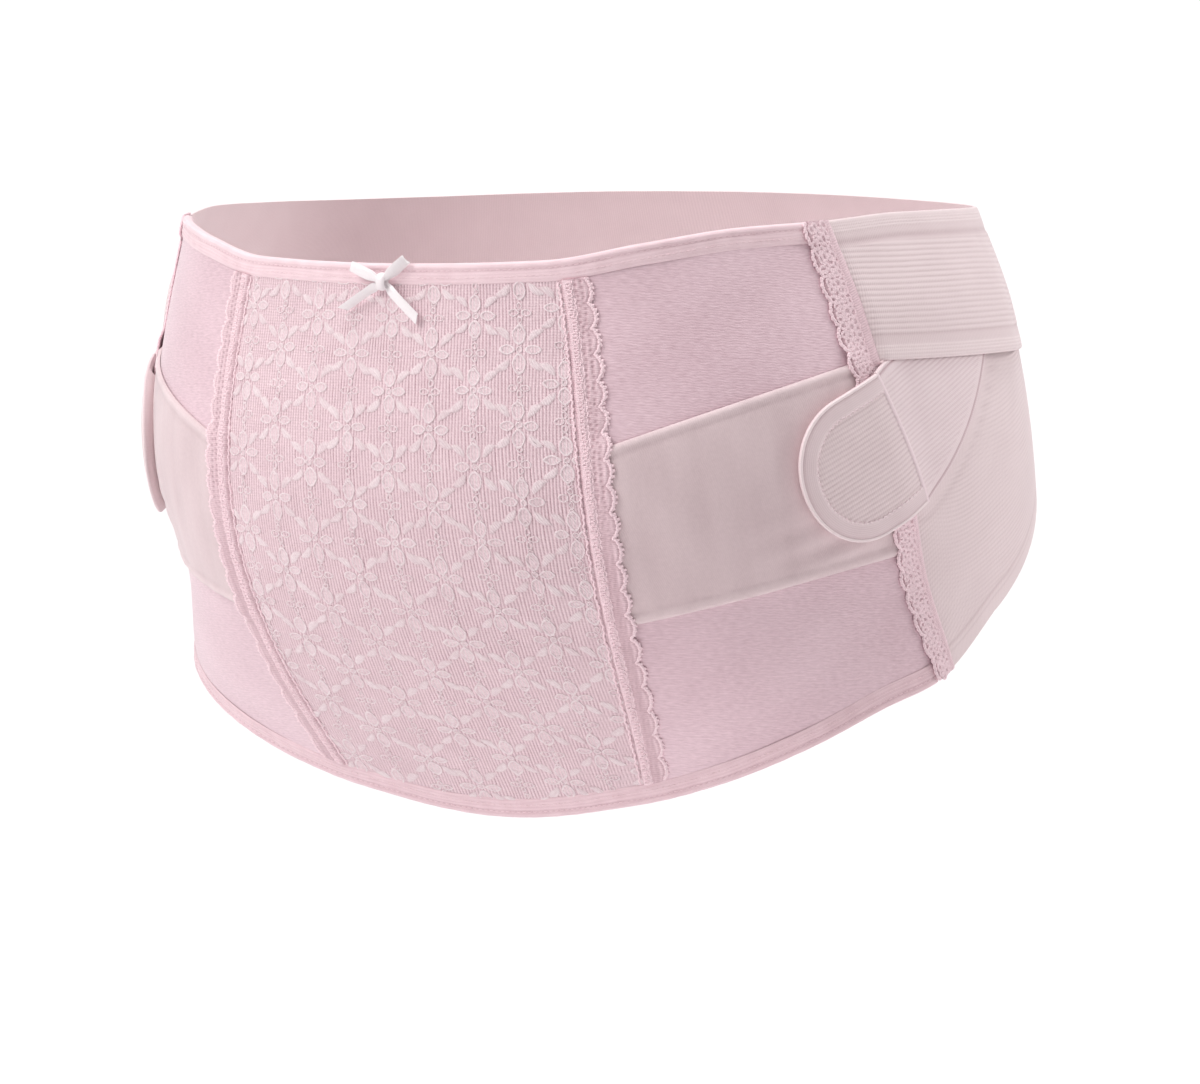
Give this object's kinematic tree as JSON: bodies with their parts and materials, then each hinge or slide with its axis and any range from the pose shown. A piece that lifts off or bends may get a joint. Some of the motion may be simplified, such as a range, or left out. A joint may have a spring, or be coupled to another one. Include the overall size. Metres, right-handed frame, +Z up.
{
  "type": "belly support belt",
  "caption": "Pink fabric belly support belt in its worn form: lace front panel, satin sides, ribbed elastic back, and round hook-and-loop tabs that fasten on side bands.",
  "frame": {"origin": "on the wearer's body axis, about level with the tab ends, where the torso fills the belt", "axes": "+Z up the wearer's body, -Y the way the wearer faces, +X the wearer's left"},
  "size_m": [0.3302, 0.2781, 0.2281],
  "materials": {
    "lace": "matte",
    "satin": "satin",
    "brushed": "matte",
    "ribbed": "matte",
    "binding": "satin",
    "ribbon": "satin"
  },
  "bodies": {
    "root": {"front_lace_panel": "lace", "upper_back_band": "ribbed", "lower_back_panel": "ribbed", "top_binding": "binding", "bottom_binding": "binding", "bow": "ribbon", "side_panel_left": "satin", "side_panel_right": "satin", "landing_band_left": "brushed", "landing_band_right": "brushed", "front_trim_left": "lace", "front_trim_right": "lace", "rear_trim_left": "lace", "rear_trim_right": "lace", "tab_strap_left": "ribbed", "tab_strap_right": "ribbed", "tab_end_left": "ribbed", "tab_end_right": "ribbed", "tab_rim_left": "binding", "tab_rim_right": "binding", "hook_patch_left": "brushed", "hook_patch_right": "brushed"}
  },
  "joints": []
}
